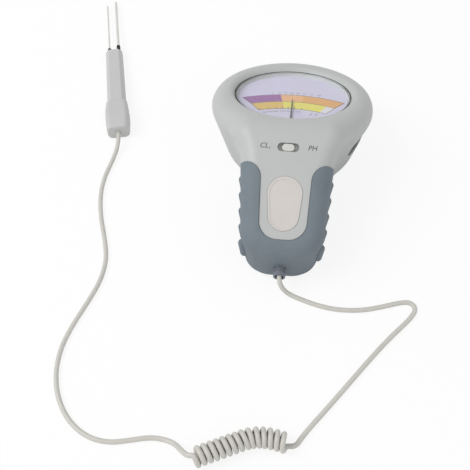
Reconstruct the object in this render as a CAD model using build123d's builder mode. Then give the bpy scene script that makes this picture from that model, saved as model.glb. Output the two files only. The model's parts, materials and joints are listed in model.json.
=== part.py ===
"""Chlorine and pH tester: a handheld pool meter with a dial, a curly cord and a two-pin probe.

Millimetres. The tester lies on its flat back, z = 0 is what it stands on, and x = 0 is its
plane of symmetry. The head with the dial is toward +Y, the tail with the cord toward -Y.
The origin is the middle of the flat back.
"""

import os
from math import atan2, cos, degrees, radians, sin, sqrt, tan

from build123d import *

os.makedirs("parts", exist_ok=True)

# Housing outline, seen from above, at the height of the back
head_center_y = 31.3
head_radius = 39.5
head_draft = 12.8
neck_radius = 36.0
neck_draft = 7.1
tail_y = -68.8
tail_half_width = 18.6
tail_draft = 4.7
handle_draft = 6.0
handle_flare = 2.0
tail_flat = 9.0
tail_rise = 5.5
tail_corner = 14.0
tail_corner_draft = 4.5
tail_shoulder = 12.0

# Dial face and front face
lens_center_y = 31.0
lens_center_z = 39.0
dial_tilt = 22.5
bezel_rise = 2.2
ridge_reach = 44.0
front_slope = 24.0
ridge_radius = 14.0
rim_radius = 9.0
back_radius = 5.0

# Walls and parting
wall = 3.0
deck_thickness = 5.6
parting_z = 12.0
tongue_width = 0.8
tongue_height = 1.6
seat_gap = 0.1
floor_rib_pitch = 18.0
floor_rib_count = 6
floor_rib_height = 4.0
floor_rib_thickness = 1.4

# Lens, dial and needle
lens_radius = 33.5
lens_thickness = 1.6
lens_gap = 0.2
lens_bevel = 0.4
bezel_lip = 3.7
opening_radius = 31.4
opening_flare = 0.8
dial_radius = 32.4
dial_thickness = 0.8
pivot_reach = 40.0
needle_reach = 36.0
needle_width = 1.0
needle_thickness = 0.4
needle_height = 2.8
needle_tip_width = 0.5
needle_swing = 30.0
needle_room = 1.0
needle_pocket_height = 1.3
hub_radius = 1.9
hub_height = 1.4
shaft_diameter = 1.2
shaft_foot_radius = 1.7
shaft_foot_thickness = 0.3
press_gap = 0.02
running_gap = 0.05

# Moving-coil movement, measured down from the face of the lens along the pivot
core_radius = 5.2
core_height = 10.0
core_top = 21.5
core_bevel = 0.5
air_gap = 2.5
yoke_thickness = 1.6
yoke_rise = 1.0
lug_width = 2.4
lug_height = 3.0
coil_gap = 0.6
coil_thickness = 1.2
coil_width = 4.0
coil_round = 1.4
bridge_gap = 0.9
bridge_thickness = 1.4
bridge_width = 5.0
bearing_radius = 1.3
bearing_flange_radius = 1.9
bearing_flange = 0.4
spring_turns = 4
spring_pitch = 0.8
spring_strip = 0.25
spring_height = 0.8
spring_lift = 0.7
spring_post_radius = 0.6

# Frame that carries the dial and the movement
frame_ring_width = 6.5
frame_thickness = 2.0
ear_count = 3
ear_reach = 35.3
ear_radius = 2.6
cradle_wall = 1.5
ledge_width = 1.2
ledge_thickness = 1.2
ledge_angle = 55.0
frame_screw_diameter = 2.2
frame_screw_length = 6.0
frame_screw_head_diameter = 3.8
frame_screw_head = 1.2
frame_screw_hole = 3.8

# Function switch on the front face
switch_drop = 12.4
slot_length = 11.6
slot_width = 4.8
knob_length = 6.6
knob_travel = 1.9
knob_gap = 0.3
knob_recess = 0.3
apron_thickness = 0.8
knob_round = 0.5
slide_gap = 0.2
apron_lap = 0.5
apron_side_lap = 0.8
stem_length = 3.0
stem_width = 1.8
stem_socket = 1.2
slider_length = 5.0
slider_width = 4.6
slider_height = 1.5
switch_case_length = 14.0
switch_case_width = 7.0
switch_case_wall = 0.9
terminal_diameter = 0.8
terminal_pitch = 3.5
terminal_length = 2.2
terminal_rise = 0.2

# Circuit board behind the front face
board_depth = 7.8
board_thickness = 1.2
board_half_width = 11.5
board_corner = 2.0
board_top_drop = 7.4
board_bottom_drop = 45.0
board_post_drops = (19.5, 41.0)
board_post_radius = 2.4
board_screw_diameter = 2.0
board_screw_length = 5.0
board_screw_head_diameter = 3.8
board_screw_head = 1.2
trimmer_drop = 26.0
trimmer_spacing = 11.0
trimmer_side = 6.0
trimmer_height = 3.4
trimmer_dial_radius = 2.1
trimmer_dial_sink = 0.6
trimmer_slot_width = 0.7
resistor_drops = (31.5, 34.5, 37.5)
resistor_length = 6.0
resistor_diameter = 2.2
resistor_lift = 0.3
resistor_span = 10.0
wire_diameter = 0.6

# Grip and label
grip_proud = 0.5
grip_inlay = 1.2
grip_gap = 0.25
lobe_top_drop = 20.8
lobe_radius = 9.0
tongue_top_half_width = 13.6
tongue_bottom_half_width = 12.0
tongue_drop = 61.7
tongue_radius = 9.5
rib_count = 5
rib_pitch = 8.1
rib_first_y = -29.5
rib_first_z = 30.0
rib_fall = 3.2
rib_radius = 2.3
rib_height = 9.0
rib_sink = 0.9
label_drop = 43.1
label_length = 29.4
label_half_width = 9.35
label_taper = 1.1
label_thickness = 1.2
label_recess = 0.8
label_rim = 1.1
label_sink = 0.35
label_gap = 0.15
label_round = 0.25

# Side pocket in the head
pocket_y = 13.0
pocket_z = 25.5
pocket_length = 18.0
pocket_height = 15.0
pocket_corner = 5.5
pocket_floor_x = 27.0
pocket_wall = 1.2

# Housing screws
head_screw_x = 26.0
head_screw_y = 55.4
tail_screw_x = 12.4
tail_screw_y = -56.0
screw_diameter = 2.6
screw_length = 14.0
screw_head_diameter = 5.0
screw_head_height = 1.8
screw_head_depth = 3.0
screw_slot_width = 0.7
screw_slot_length = 3.2
screw_slot_depth = 0.9
boss_radius = 3.1
tower_wall = 1.2

# Cord, gland and curly section
cord_diameter = 2.6
floor_clear = 0.05
gland_z = 12.0
gland_end_y = -75.5
gland_diameter = 6.5
gland_flange_diameter = 9.6
gland_flange = 1.6
gland_groove = 0.5
gland_mouth_diameter = 4.6
gland_mouth = 1.0
gland_groove_width = 0.7
gland_groove_pitch = 1.6
lead_diameter = 1.1
lead_spacing = 2.4
lead_land_spacing = 7.4
lead_land_drop = 42.6
lead_drop = 5.0
lead_bend = 2.5
curl_diameter = 10.4

# Probe
probe_heading = 13.0
probe_x = -105.9
probe_y = 22.0
collar_length = 24.0
collar_front_width = 13.2
collar_middle_width = 14.8
collar_rear_width = 13.4
collar_front_height = 9.4
collar_middle_height = 11.0
collar_rear_height = 10.4
collar_corner = 3.2
collar_round = 1.2
cord_socket = 5.0
cord_engagement = 1.5
cord_straight = 4.0
body_length = 48.0
body_front_width = 10.8
body_rear_width = 11.6
body_height = 8.0
body_chamfer = 2.2
body_round = 0.8
spigot_length = 6.0
spigot_shoulder = 1.4
spigot_gap = 0.05
pin_spacing = 6.0
pin_socket = 9.0
thin_pin_diameter = 1.2
thin_pin_length = 50.0
thick_pin_diameter = 1.9
thick_pin_length = 53.0
thin_seal_beads = 2
thick_seal_beads = 3
seal_bead_radius = 1.3
seal_bead_pitch = 2.4
seal_sleeve = 0.3

# Directions
tilt = radians(dial_tilt)
slope = radians(front_slope)
dial_out = Vector(0, sin(tilt), cos(tilt))
dial_near = Vector(0, -cos(tilt), sin(tilt))
front_out = Vector(0, -sin(slope), cos(slope))
lens_center = Vector(0, lens_center_y, lens_center_z)
ridge_point = lens_center + dial_out * bezel_rise + dial_near * ridge_reach
# The outlines are lofted a tenth higher than the ridge
loft_height = 1.1 * ridge_point.Z
dial_axis = Axis(lens_center, dial_out)
front_axis = Axis(ridge_point, front_out)
dial_depth = deck_thickness - bezel_rise
yoke_bore = core_radius + air_gap
yoke_radius = yoke_bore + yoke_thickness
coil_reach = core_radius + coil_gap + coil_thickness
coil_top = core_top - coil_gap - coil_thickness
coil_bottom = core_top + core_height + coil_gap + coil_thickness
yoke_top = core_top - yoke_rise
yoke_bottom = core_top + core_height + yoke_rise
upper_bridge_low = coil_top - bridge_gap
upper_bridge_high = upper_bridge_low - bridge_thickness
lower_bridge_high = coil_bottom + bridge_gap
lower_bridge_low = lower_bridge_high + bridge_thickness
frame_high = dial_depth + dial_thickness
frame_low = frame_high + frame_thickness
cradle_low = yoke_bottom + ledge_thickness
apron_high = wall + knob_gap
apron_low = apron_high + apron_thickness
case_high = apron_low + slide_gap
slider_high = case_high + switch_case_wall + slide_gap


def grow(value, draft, height):
    """A size of the outline at a height, from its size at the back and its draft."""
    return value + height * tan(radians(draft))


def dial_plane(height, reach=0.0):
    """Plane parallel to the dial, at a height over the lens face; reach runs toward the tail."""
    origin = lens_center + dial_out * height + dial_near * reach
    return Plane(origin=origin, x_dir=(1, 0, 0), z_dir=dial_out)


def front_plane(depth):
    """Plane parallel to the front face, under it by depth; local y = 0 is the ridge."""
    return Plane(origin=ridge_point - front_out * depth, x_dir=(1, 0, 0), z_dir=front_out)


def side_x(y, z):
    """Half width of the handle at a place on its straight side."""
    width = grow(tail_half_width, handle_draft, z)
    return width + (y - grow(tail_y, -tail_draft, z)) * tan(radians(handle_flare))


def outline(height, inset):
    """Plan outline of the housing at a height, drawn inward by inset."""
    flare = radians(handle_flare)
    along = Vector(sin(flare), cos(flare))
    outward = Vector(cos(flare), -sin(flare))
    head = Vector(0, head_center_y)
    radius = grow(head_radius, head_draft, height) - inset
    hollow = grow(neck_radius, -neck_draft, height) + inset
    end_y = grow(tail_y, -tail_draft, height) + inset
    corner = Vector(grow(tail_half_width, handle_draft, height) - inset, end_y)
    corner_radius = grow(tail_corner, tail_corner_draft, height) - inset
    # The neck arc touches the side line and the head circle
    start = corner + outward * hollow - head
    reach = start.dot(along)
    rest = start.dot(start) - (radius + hollow) ** 2
    travel = -reach - sqrt(reach * reach - rest)
    side_end = corner + along * travel
    toward = (start + along * travel).normalized()
    shoulder = Vector(corner.X + tail_rise * tan(flare), end_y + tail_rise)
    with BuildSketch(Plane.XY.offset(height)) as plan:
        with BuildLine():
            FilletPolyline(
                (0, end_y),
                (tail_flat, end_y),
                shoulder,
                side_end,
                radius=[corner_radius, tail_shoulder - inset],
            )
            TangentArc(side_end, head + toward * radius, tangent=along)
            turn = degrees(atan2(toward.Y, toward.X))
            CenterArc(head, radius, turn, 90 - turn)
            mirror(about=Plane.YZ)
        make_face()
    return plan.sketch


def housing_form(inset, deck=None):
    """The housing as a solid, drawn inward by inset, and by deck under the dial face."""
    deck = inset if deck is None else deck
    turn = tilt + slope
    height = bezel_rise - deck
    reach = ridge_reach + (deck * cos(turn) - inset) / sin(turn)
    ridge = lens_center + dial_out * height + dial_near * reach
    far_run = head_center_y + 1.5 * head_radius - ridge.Y
    far = Vector(0, ridge.Y + far_run, ridge.Z - far_run * tan(tilt))
    end_run = ridge.Y - tail_y + 2 * rim_radius
    end = Vector(0, ridge.Y - end_run, ridge.Z - end_run * tan(slope))
    floor_z = max(inset, 0)
    with BuildPart() as form:
        add(outline(0, inset))
        add(outline(loft_height, inset))
        loft(ruled=True)
        with BuildSketch(Plane.YZ) as side:
            with BuildLine():
                Polyline(
                    (far.Y, floor_z),
                    (far.Y, far.Z),
                    (ridge.Y, ridge.Z),
                    (end.Y, end.Z),
                    (end.Y, floor_z),
                    close=True,
                )
            make_face()
            fillet(side.vertices().sort_by(Axis.Y)[-1], ridge_radius - inset)
        extrude(amount=2 * head_radius, both=True, mode=Mode.INTERSECT)
        top = form.faces().filter_by(lambda face: face.normal_at().Z > 0.8)
        rim = top.edges().filter_by(Axis.X, reverse=True)
        tail_edge = top.edges().filter_by(Axis.X).sort_by(Axis.Y)[0]
        fillet(rim + [tail_edge], rim_radius - inset)
        fillet(form.faces().sort_by(Axis.Z)[0].edges(), back_radius - floor_z)
    return form.part


def grip_block(gap):
    """The room that the grip takes, square to the front face, drawn inward by gap."""
    far_x = 2 * tail_half_width
    far_y = -(tongue_drop + ridge_reach)
    top_y = -(lobe_top_drop + gap)
    with BuildPart() as block:
        with BuildSketch(front_plane(-ridge_radius)):
            with BuildLine():
                FilletPolyline(
                    (0, -(tongue_drop + gap)),
                    (tongue_bottom_half_width + gap, -(tongue_drop + gap)),
                    (tongue_top_half_width + gap, top_y),
                    (tail_half_width + 6.4, top_y),
                    (far_x, top_y - 6.0),
                    radius=[tongue_radius, lobe_radius - gap, lobe_radius],
                )
                Polyline((far_x, top_y - 6.0), (far_x, far_y), (0, far_y))
                mirror(about=Plane.YZ)
            make_face()
        extrude(amount=-(ridge_radius + loft_height))
    return block.part


def pivot_plane(depth):
    """Plane square to the needle's pivot, under the lens face by depth."""
    return dial_plane(-depth, pivot_reach)


def front_spot(x, drop, depth):
    """Plane like the front face, at a place on it, under it by depth."""
    spot = front_plane(depth).from_local_coords((x, -drop, 0))
    return Plane(origin=spot, x_dir=(1, 0, 0), z_dir=front_out)


def band(inset, low, high):
    """Slice of the housing between two heights, drawn inward by inset."""
    with BuildPart() as slab:
        add(outline(low, inset))
        add(outline(high, inset))
        loft(ruled=True)
    return slab.part


def oval(grown, depth):
    """Sketch of the label's oval, under the front face by depth, drawn outward by grown."""
    top_radius = label_half_width
    bottom_radius = label_half_width - label_taper
    top_y = label_length / 2 - top_radius - label_drop
    bottom_y = bottom_radius - label_length / 2 - label_drop
    with BuildSketch(front_plane(depth)) as shape:
        with Locations((0, top_y)):
            Circle(top_radius + grown)
        with Locations((0, bottom_y)):
            Circle(bottom_radius + grown)
        make_hull()
    return shape.sketch


# Housing forms

outer_form = housing_form(0)
inlay_form = housing_form(grip_inlay)
cavity_form = housing_form(wall, deck_thickness)

with BuildPart() as grip_seat:
    add(grip_block(0))
    add(inlay_form, mode=Mode.SUBTRACT)

with BuildPart() as skin:
    add(outer_form)
    add(grip_seat.part, mode=Mode.SUBTRACT)
    add(cavity_form, mode=Mode.SUBTRACT)

tail_wall_y = grow(tail_y, -tail_draft, gland_z)
gland_hole = gland_diameter / 2 + seat_gap

with BuildPart() as gland_room:
    with BuildSketch(Plane.XZ.offset(-tail_wall_y - 2 * wall)):
        with Locations((0, gland_z)):
            Circle(gland_hole)
    extrude(amount=4 * wall)

# Lens seat, bezel and dial opening, turned about the middle of the lens
seat_radius = lens_radius + lens_gap
crest_radius = seat_radius + bezel_lip
with BuildPart() as dial_room:
    with BuildSketch(Plane(origin=lens_center, x_dir=(1, 0, 0), z_dir=dial_near)):
        with BuildLine():
            Polyline(
                (seat_radius, 0),
                (seat_radius, -lens_thickness),
                (opening_radius + opening_flare, -lens_thickness),
                (opening_radius, -dial_depth - seat_gap),
                (0, -dial_depth - seat_gap),
                (0, ridge_radius),
                (crest_radius, ridge_radius),
                (crest_radius, bezel_rise),
            )
            TangentArc((crest_radius, bezel_rise), (seat_radius, 0), tangent=(-1, 0))
        make_face()
    revolve(axis=dial_axis)

# Room under the rim for the needle, from its pivot to the dial opening
hub_room = hub_radius + needle_room
swing = radians(needle_swing)
side_run = sqrt(opening_radius**2 - (pivot_reach * sin(swing)) ** 2)
needle_run = pivot_reach * cos(swing) - side_run + lens_radius - opening_radius
with BuildPart() as needle_pocket:
    with BuildSketch(dial_plane(-needle_pocket_height, pivot_reach)):
        Circle(hub_room)
        with BuildLine():
            Polyline(
                (-hub_room, 0),
                (hub_room, 0),
                (hub_room + needle_run * sin(swing), needle_run),
                (-hub_room - needle_run * sin(swing), needle_run),
                close=True,
            )
        make_face()
    extrude(amount=needle_pocket_height - dial_depth - seat_gap)

# Opening for the switch knob
slot_drop = wall + seat_gap
with BuildPart() as knob_slot:
    with BuildSketch(front_spot(0, switch_drop, slot_drop)):
        SlotOverall(slot_length, slot_width)
    extrude(amount=slot_drop + seat_gap)

with BuildPart() as label_seat:
    add(oval(0, label_recess))
    extrude(amount=label_recess + seat_gap)

# Side pocket for the probe, cut from the right side of the head
pocket_skin = pocket_wall + seat_gap
with BuildPart() as pocket_room:
    with BuildSketch(Plane.YZ.offset(pocket_floor_x - pocket_skin)):
        with Locations((pocket_y, pocket_z)):
            RectangleRounded(
                pocket_length + 2 * pocket_skin,
                pocket_height + 2 * pocket_skin,
                pocket_corner + pocket_skin,
            )
    extrude(amount=head_radius)

# Screw bosses, drawn through and trimmed to the inside of the wall
screw_spots = [
    (-head_screw_x, head_screw_y),
    (head_screw_x, head_screw_y),
    (-tail_screw_x, tail_screw_y),
    (tail_screw_x, tail_screw_y),
]
with BuildPart() as bosses:
    with BuildSketch(Plane.XY.offset(parting_z)):
        with Locations(*screw_spots):
            Circle(boss_radius)
    extrude(amount=loft_height)
    for drop in board_post_drops:
        with BuildSketch(front_spot(0, drop, board_depth)):
            Circle(board_post_radius)
        extrude(amount=board_depth)
    add(inlay_form, mode=Mode.INTERSECT)

screw_seat_z = screw_head_depth + screw_head_height
screw_tip_z = screw_seat_z + screw_length

with BuildPart() as front_shell:
    add(skin.part)
    split(bisect_by=Plane.XY.offset(parting_z), keep=Keep.TOP)
    tongue_top = parting_z + tongue_height + seat_gap
    add(band(wall - tongue_width - seat_gap, parting_z, tongue_top), mode=Mode.SUBTRACT)
    add(bosses.part)
    add(dial_room.part, mode=Mode.SUBTRACT)
    add(needle_pocket.part, mode=Mode.SUBTRACT)
    add(knob_slot.part, mode=Mode.SUBTRACT)
    add(label_seat.part, mode=Mode.SUBTRACT)
    add(pocket_room.part, mode=Mode.SUBTRACT)
    add(gland_room.part, mode=Mode.SUBTRACT)
    with BuildSketch(Plane.XY.offset(parting_z)):
        with Locations(*screw_spots):
            Circle(screw_diameter / 2 + press_gap)
    extrude(amount=screw_tip_z + seat_gap - parting_z, mode=Mode.SUBTRACT)
    for drop in board_post_drops:
        with BuildSketch(front_spot(0, drop, board_depth)):
            Circle(board_screw_diameter / 2 + press_gap)
        extrude(amount=board_screw_length - board_thickness + seat_gap, mode=Mode.SUBTRACT)
    with BuildSketch(dial_plane(-dial_depth)):
        with PolarLocations(ear_reach, ear_count, start_angle=90):
            Circle(frame_screw_diameter / 2 + press_gap)
    extrude(amount=frame_screw_hole, mode=Mode.SUBTRACT)
front_shell.part.label = "front_shell"
export_step(front_shell.part, "parts/front_shell.step")

# Rear shell with screw towers and floor ribs
tower_radius = screw_head_diameter / 2 + 2 * seat_gap + tower_wall
with BuildPart() as rear_inside:
    with BuildSketch(Plane.XY.offset(wall - seat_gap)):
        with Locations(*screw_spots):
            Circle(tower_radius)
    extrude(amount=parting_z - wall)
    with BuildSketch(Plane.XY.offset(wall - seat_gap)):
        with GridLocations(0, floor_rib_pitch, 1, floor_rib_count):
            Rectangle(4 * head_radius, floor_rib_thickness)
        Rectangle(floor_rib_thickness, -4 * tail_y)
    extrude(amount=floor_rib_height)
    add(inlay_form, mode=Mode.INTERSECT)

with BuildPart() as rear_shell:
    add(skin.part)
    split(bisect_by=Plane.XY.offset(parting_z), keep=Keep.BOTTOM)
    add(band(wall - tongue_width, parting_z, parting_z + tongue_height))
    add(cavity_form, mode=Mode.SUBTRACT)
    add(rear_inside.part)
    add(gland_room.part, mode=Mode.SUBTRACT)
    with BuildSketch(Plane.XY):
        with Locations(*screw_spots):
            Circle(screw_head_diameter / 2 + 2 * seat_gap)
    extrude(amount=screw_seat_z, mode=Mode.SUBTRACT)
    with BuildSketch(Plane.XY):
        with Locations(*screw_spots):
            Circle(screw_diameter / 2 + 2 * seat_gap)
    extrude(amount=parting_z, mode=Mode.SUBTRACT)
rear_shell.part.label = "rear_shell"
export_step(rear_shell.part, "parts/rear_shell.step")

# Grip sleeve with its side ribs
draft = radians(handle_draft)
with BuildPart() as grip_boot:
    add(housing_form(-grip_proud))
    add(grip_block(grip_gap), mode=Mode.INTERSECT)
    for side in (-1, 1):
        for index in range(rib_count):
            rib_y = rib_first_y - index * rib_pitch
            rib_z = rib_first_z - index * rib_fall
            rib_x = side * (side_x(rib_y, rib_z) + grip_proud - rib_sink)
            lean = Plane(
                origin=(rib_x, rib_y, rib_z),
                x_dir=(-side * cos(draft), 0, sin(draft)),
                z_dir=(side * sin(draft), 0, cos(draft)),
            )
            with Locations(lean):
                Cylinder(rib_radius, rib_height)
            with Locations(lean.offset(rib_height / 2), lean.offset(-rib_height / 2)):
                Sphere(rib_radius)
    add(inlay_form, mode=Mode.SUBTRACT)
    add(gland_room.part, mode=Mode.SUBTRACT)
grip_boot.part.label = "grip_boot"
export_step(grip_boot.part, "parts/grip_boot.step")

# Lens and dial
with BuildPart() as lens:
    with BuildSketch(dial_plane(-lens_thickness)):
        Circle(lens_radius)
    extrude(amount=lens_thickness)
    chamfer(lens.edges().sort_by(dial_axis)[-1], lens_bevel)
lens.part.label = "lens"
export_step(lens.part, "parts/lens.step")

with BuildPart() as dial_plate:
    with BuildSketch(dial_plane(-frame_high)):
        Circle(dial_radius)
    extrude(amount=dial_thickness)
dial_plate.part.label = "dial_plate"
export_step(dial_plate.part, "parts/dial_plate.step")

# Needle with its hub
hub_low = needle_height + (hub_height - needle_thickness) / 2
with BuildPart() as needle:
    with BuildSketch(pivot_plane(needle_height)):
        with BuildLine():
            Polyline(
                (-needle_width / 2, 0),
                (needle_width / 2, 0),
                (needle_tip_width / 2, needle_reach),
                (-needle_tip_width / 2, needle_reach),
                close=True,
            )
        make_face()
    extrude(amount=needle_thickness)
    with BuildSketch(pivot_plane(hub_low)):
        Circle(hub_radius)
    extrude(amount=hub_height)
    with BuildSketch(pivot_plane(hub_low)):
        Circle(shaft_diameter / 2 + press_gap)
    extrude(amount=hub_height, mode=Mode.SUBTRACT)
needle.part.label = "needle"
export_step(needle.part, "parts/needle.step")

with BuildPart() as needle_shaft:
    with BuildSketch(pivot_plane(coil_top)):
        Circle(shaft_foot_radius)
    extrude(amount=shaft_foot_thickness)
    with BuildSketch(pivot_plane(coil_top)):
        Circle(shaft_diameter / 2)
    extrude(amount=coil_top - hub_low + hub_height)
needle_shaft.part.label = "needle_shaft"
export_step(needle_shaft.part, "parts/needle_shaft.step")

with BuildPart() as lower_pivot:
    with BuildSketch(pivot_plane(coil_bottom + shaft_foot_thickness)):
        Circle(shaft_foot_radius)
    extrude(amount=shaft_foot_thickness)
    with BuildSketch(pivot_plane(lower_bridge_low)):
        Circle(shaft_diameter / 2)
    extrude(amount=lower_bridge_low - coil_bottom)
lower_pivot.part.label = "lower_pivot"
export_step(lower_pivot.part, "parts/lower_pivot.step")

# Moving coil: a flat frame around the core, in the plane of the needle
core_middle = pivot_plane(core_top + core_height / 2).origin
with BuildPart() as moving_coil:
    with BuildSketch(Plane(origin=core_middle, x_dir=dial_near, z_dir=(1, 0, 0))):
        RectangleRounded(2 * coil_reach, coil_bottom - coil_top, coil_round)
        RectangleRounded(
            2 * (coil_reach - coil_thickness),
            core_height + 2 * coil_gap,
            coil_round - coil_thickness + coil_gap,
            mode=Mode.SUBTRACT,
        )
    extrude(amount=coil_width / 2, both=True)
moving_coil.part.label = "moving_coil"
export_step(moving_coil.part, "parts/moving_coil.step")

with BuildPart() as magnet_core:
    with BuildSketch(pivot_plane(core_top + core_height)):
        Circle(core_radius)
    extrude(amount=core_height)
    chamfer(magnet_core.edges().filter_by(GeomType.CIRCLE), core_bevel)
magnet_core.part.label = "magnet_core"
export_step(magnet_core.part, "parts/magnet_core.step")

# Yoke ring with the two lugs that hold the core
with BuildPart() as yoke_ring:
    with BuildSketch(pivot_plane(yoke_bottom)):
        Circle(yoke_radius)
        Circle(yoke_bore, mode=Mode.SUBTRACT)
    extrude(amount=yoke_bottom - yoke_top)
    with BuildSketch(pivot_plane(core_top + (core_height + lug_height) / 2)):
        Rectangle(yoke_bore + yoke_radius, lug_width)
        Circle(core_radius, mode=Mode.SUBTRACT)
    extrude(amount=lug_height)
yoke_ring.part.label = "yoke_ring"
export_step(yoke_ring.part, "parts/yoke_ring.step")


def bridge(plate_low, foot_low):
    """Strap across the yoke with a bearing hole and two feet that stand on the yoke."""
    with BuildPart() as strap:
        with BuildSketch(pivot_plane(plate_low)):
            Rectangle(2 * yoke_radius, bridge_width)
            Circle(yoke_radius, mode=Mode.INTERSECT)
            Circle(bearing_radius + press_gap, mode=Mode.SUBTRACT)
        extrude(amount=bridge_thickness)
        with BuildSketch(pivot_plane(foot_low)):
            Rectangle(2 * yoke_radius, bridge_width)
            Circle(yoke_radius, mode=Mode.INTERSECT)
            Circle(yoke_bore, mode=Mode.SUBTRACT)
        extrude(amount=yoke_top - upper_bridge_low)
    return strap.part


spring_start = shaft_diameter / 2 + spring_strip / 2 + 3 * seat_gap
spring_end = spring_start + spring_turns * spring_pitch
spring_low = upper_bridge_high - spring_lift
with BuildPart() as top_bridge:
    add(bridge(upper_bridge_low, yoke_top))
    with BuildSketch(pivot_plane(upper_bridge_high)):
        with Locations((spring_end, spring_post_radius)):
            Circle(spring_post_radius)
    extrude(amount=spring_lift + spring_height)
top_bridge.part.label = "top_bridge"
export_step(top_bridge.part, "parts/top_bridge.step")

with BuildPart() as bottom_bridge:
    add(bridge(lower_bridge_low, lower_bridge_high))
bottom_bridge.part.label = "bottom_bridge"
export_step(bottom_bridge.part, "parts/bottom_bridge.step")

with BuildPart() as pivot_bearings:
    for bush_low, flange_low in (
        (upper_bridge_low, upper_bridge_high),
        (lower_bridge_low, lower_bridge_low + bearing_flange),
    ):
        with BuildSketch(pivot_plane(bush_low)):
            Circle(bearing_radius)
            Circle(shaft_diameter / 2 + running_gap, mode=Mode.SUBTRACT)
        extrude(amount=bridge_thickness)
        with BuildSketch(pivot_plane(flange_low)):
            Circle(bearing_flange_radius)
            Circle(shaft_diameter / 2 + running_gap, mode=Mode.SUBTRACT)
        extrude(amount=bearing_flange)
pivot_bearings.part.label = "pivot_bearings"
export_step(pivot_bearings.part, "parts/pivot_bearings.step")

# Hairspring of half turns, each half a pitch wider than the last
with BuildPart() as hairspring:
    with BuildSketch(pivot_plane(spring_low)):
        with BuildLine():
            for half in range(2 * spring_turns):
                radius = spring_start + half * spring_pitch / 2
                shift = spring_pitch / 2 * (half % 2)
                CenterArc((shift, 0), radius, 180 * half, 180)
        trace(line_width=spring_strip)
    extrude(amount=spring_height)
hairspring.part.label = "hairspring"
export_step(hairspring.part, "parts/hairspring.step")

# Frame: a ring under the dial with three ears, and a cradle for the movement
cradle_bore = yoke_radius + seat_gap
cradle_radius = cradle_bore + cradle_wall
ledge_turn = radians(ledge_angle)
with BuildPart() as movement_frame:
    with BuildSketch(dial_plane(-frame_low)):
        Circle(dial_radius)
        Circle(dial_radius - frame_ring_width, mode=Mode.SUBTRACT)
        with PolarLocations(ear_reach, ear_count, start_angle=90):
            Circle(ear_radius)
        with PolarLocations(dial_radius, ear_count, start_angle=90):
            Rectangle(2 * (ear_reach - dial_radius), 2 * ear_radius)
    extrude(amount=frame_thickness)
    with BuildSketch(dial_plane(-frame_high)):
        with PolarLocations(ear_reach, ear_count, start_angle=90):
            Circle(ear_radius)
        Circle(dial_radius + seat_gap, mode=Mode.SUBTRACT)
    extrude(amount=dial_thickness)
    with BuildSketch(pivot_plane(cradle_low)):
        Circle(cradle_radius)
        Circle(cradle_bore, mode=Mode.SUBTRACT)
        with Locations((0, cradle_radius)):
            Rectangle(2 * cradle_radius, 2 * cradle_radius, mode=Mode.INTERSECT)
    extrude(amount=cradle_low - frame_high)
    with BuildSketch(pivot_plane(cradle_low)):
        with BuildLine():
            Polyline(
                (0, 0),
                (2 * cradle_radius * sin(ledge_turn), 2 * cradle_radius * cos(ledge_turn)),
                (-2 * cradle_radius * sin(ledge_turn), 2 * cradle_radius * cos(ledge_turn)),
                close=True,
            )
        make_face()
        Circle(cradle_radius, mode=Mode.INTERSECT)
        Circle(yoke_radius - ledge_width, mode=Mode.SUBTRACT)
    extrude(amount=ledge_thickness)
    with BuildSketch(dial_plane(-frame_low)):
        with PolarLocations(ear_reach, ear_count, start_angle=90):
            Circle(frame_screw_diameter / 2 + seat_gap)
    extrude(amount=frame_low, mode=Mode.SUBTRACT)
movement_frame.part.label = "movement_frame"
export_step(movement_frame.part, "parts/movement_frame.step")

with BuildPart() as frame_screws:
    with BuildSketch(dial_plane(-frame_low - frame_screw_head)):
        with PolarLocations(ear_reach, ear_count, start_angle=90):
            Circle(frame_screw_head_diameter / 2)
    extrude(amount=frame_screw_head)
    with BuildSketch(dial_plane(-frame_low)):
        with PolarLocations(ear_reach, ear_count, start_angle=90):
            Circle(frame_screw_diameter / 2)
    extrude(amount=frame_screw_length)
frame_screws.part.label = "frame_screws"
export_step(frame_screws.part, "parts/frame_screws.step")

# Circuit board
board_low = board_depth + board_thickness
post_spots = [(0, -drop) for drop in board_post_drops]
terminal_spots = [(step * terminal_pitch, -switch_drop) for step in (-1, 0, 1)]
resistor_spots = [
    (side * resistor_span / 2, -drop) for side in (-1, 1) for drop in resistor_drops
]
with BuildPart() as circuit_board:
    with BuildSketch(front_plane(board_low)):
        with Locations((0, -(board_top_drop + board_bottom_drop) / 2)):
            RectangleRounded(
                2 * board_half_width, board_bottom_drop - board_top_drop, board_corner
            )
        with Locations(*post_spots):
            Circle(board_screw_diameter / 2 + seat_gap, mode=Mode.SUBTRACT)
        with Locations(*terminal_spots):
            Circle(terminal_diameter / 2 + press_gap, mode=Mode.SUBTRACT)
        with Locations(*resistor_spots):
            Circle(wire_diameter / 2 + press_gap, mode=Mode.SUBTRACT)
    extrude(amount=board_thickness)
circuit_board.part.label = "circuit_board"
export_step(circuit_board.part, "parts/circuit_board.step")

with BuildPart() as board_screws:
    with BuildSketch(front_plane(board_low + board_screw_head)):
        with Locations(*post_spots):
            Circle(board_screw_head_diameter / 2)
    extrude(amount=board_screw_head)
    with BuildSketch(front_plane(board_low)):
        with Locations(*post_spots):
            Circle(board_screw_diameter / 2)
    extrude(amount=board_screw_length)
board_screws.part.label = "board_screws"
export_step(board_screws.part, "parts/board_screws.step")

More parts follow.
